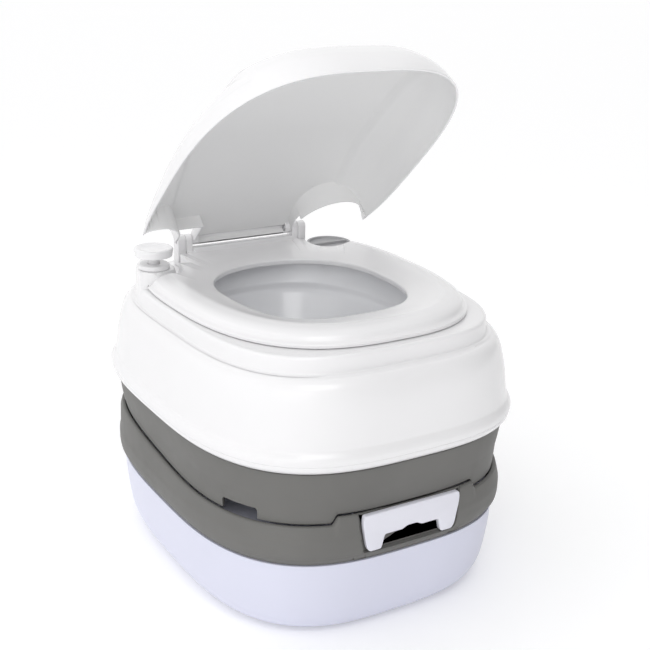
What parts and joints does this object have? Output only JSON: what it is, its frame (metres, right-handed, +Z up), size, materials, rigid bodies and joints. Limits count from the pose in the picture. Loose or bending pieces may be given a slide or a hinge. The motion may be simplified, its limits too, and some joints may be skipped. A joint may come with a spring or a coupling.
{
  "type": "portable camp toilet",
  "caption": "Portable two-part toilet: white flush tank with bowl, seat and open lid on a waste tank with a grey collar and a slide-valve pull handle.",
  "frame": {"origin": "centre of the waste tank's underside, on the ground", "axes": "+Z up; -Y is the front with the valve handle; +X is the right side seen from the front"},
  "size_m": [0.3742, 0.4491, 0.5657],
  "materials": {
    "gloss_white": "glossy moulded plastic",
    "tank_white": "semi-gloss translucent white plastic",
    "warm_grey": "matte, finely textured plastic",
    "handle_white": "semi-gloss plastic",
    "cap_grey": "satin plastic",
    "black_rubber": "matte rubber",
    "clear_tube": "milky flexible tube",
    "steel": "bright stainless steel"
  },
  "bodies": {
    "waste_unit": {"waste_tank": "tank_white", "tank_collar": "warm_grey", "valve_frame": "warm_grey", "valve_lip_seal": "black_rubber", "valve_screw_1": "steel", "valve_screw_2": "steel", "valve_screw_3": "steel", "valve_screw_4": "steel", "spout_base": "warm_grey", "vent_housing": "warm_grey", "vent_spring": "steel"},
    "valve": {"valve_blade": "tank_white", "valve_handle": "handle_white"},
    "spout": {"pour_spout": "tank_white"},
    "spout_cap": {"spout_cap": "warm_grey"},
    "vent_button": {"vent_button": "cap_grey"},
    "flush_unit": {"tank_skirt": "warm_grey", "flush_tank_floor": "warm_grey", "flush_tank_shell": "gloss_white", "bowl": "gloss_white", "bowl_seal": "black_rubber", "pump_collar": "gloss_white", "pump_cylinder": "tank_white", "pump_foot_valve": "cap_grey", "pump_spring": "steel", "flush_tube": "clear_tube", "flush_nozzle": "clear_tube", "filler_neck": "gloss_white", "filler_seal": "black_rubber", "hinge_lug_left": "gloss_white", "hinge_lug_right": "gloss_white", "hinge_pin_left": "steel", "hinge_pin_right": "steel", "latch_bracket": "warm_grey", "latch_pin": "steel"},
    "seat": {"seat_ring": "gloss_white", "seat_buffer_1": "black_rubber", "seat_buffer_2": "black_rubber", "seat_buffer_3": "black_rubber", "seat_buffer_4": "black_rubber"},
    "lid": {"lid": "gloss_white"},
    "pump": {"pump_knob": "gloss_white", "pump_rod": "gloss_white", "pump_piston": "black_rubber"},
    "filler_cap": {"filler_cap": "cap_grey"},
    "latch": {"rear_latch": "gloss_white"}
  },
  "joints": [
    {"name": "upper_lift", "type": "slide", "parent": "waste_unit", "child": "flush_unit", "axis": [0, 0, 1], "range_m": [0, 0.15]},
    {"name": "valve_slide", "type": "slide", "parent": "waste_unit", "child": "valve", "axis": [0, -1, 0], "range_m": [0, 0.102]},
    {"name": "spout_swivel", "type": "hinge", "parent": "waste_unit", "child": "spout", "pos_m": [0.108, 0.148, 0.1385], "axis": [0, 0, -1], "range_deg": [0, 90]},
    {"name": "spout_cap_turn", "type": "hinge", "parent": "spout", "child": "spout_cap", "pos_m": [0.024, 0.148, 0.1385], "axis": [1, 0, 0], "range_deg": [0, 90]},
    {"name": "vent_press", "type": "slide", "parent": "waste_unit", "child": "vent_button", "axis": [0, 0, -1], "range_m": [0, 0.0032], "stiffness_N_per_m": 400, "springref_m": -0.002, "deforming": ["vent_spring"]},
    {"name": "seat_hinge", "type": "hinge", "parent": "flush_unit", "child": "seat", "pos_m": [0, 0.156, 0.3265], "axis": [-1, 0, 0], "range_deg": [0, 60]},
    {"name": "lid_hinge", "type": "hinge", "parent": "seat", "child": "lid", "pos_m": [0, 0.156, 0.3265], "axis": [-1, 0, 0], "range_deg": [-42.5, 50]},
    {"name": "pump_press", "type": "slide", "parent": "flush_unit", "child": "pump", "axis": [0, 0, -1], "range_m": [0, 0.0125], "stiffness_N_per_m": 500, "springref_m": -0.004, "deforming": ["pump_spring"]},
    {"name": "filler_cap_turn", "type": "hinge", "parent": "flush_unit", "child": "filler_cap", "pos_m": [0.109, 0.1328, 0.3025], "axis": [0, 0, 1], "range_deg": [0, 120]},
    {"name": "latch_hinge", "type": "hinge", "parent": "flush_unit", "child": "latch", "pos_m": [-0.06, 0.2222, 0.173], "axis": [1, 0, 0], "range_deg": [0, 75]}
  ]
}
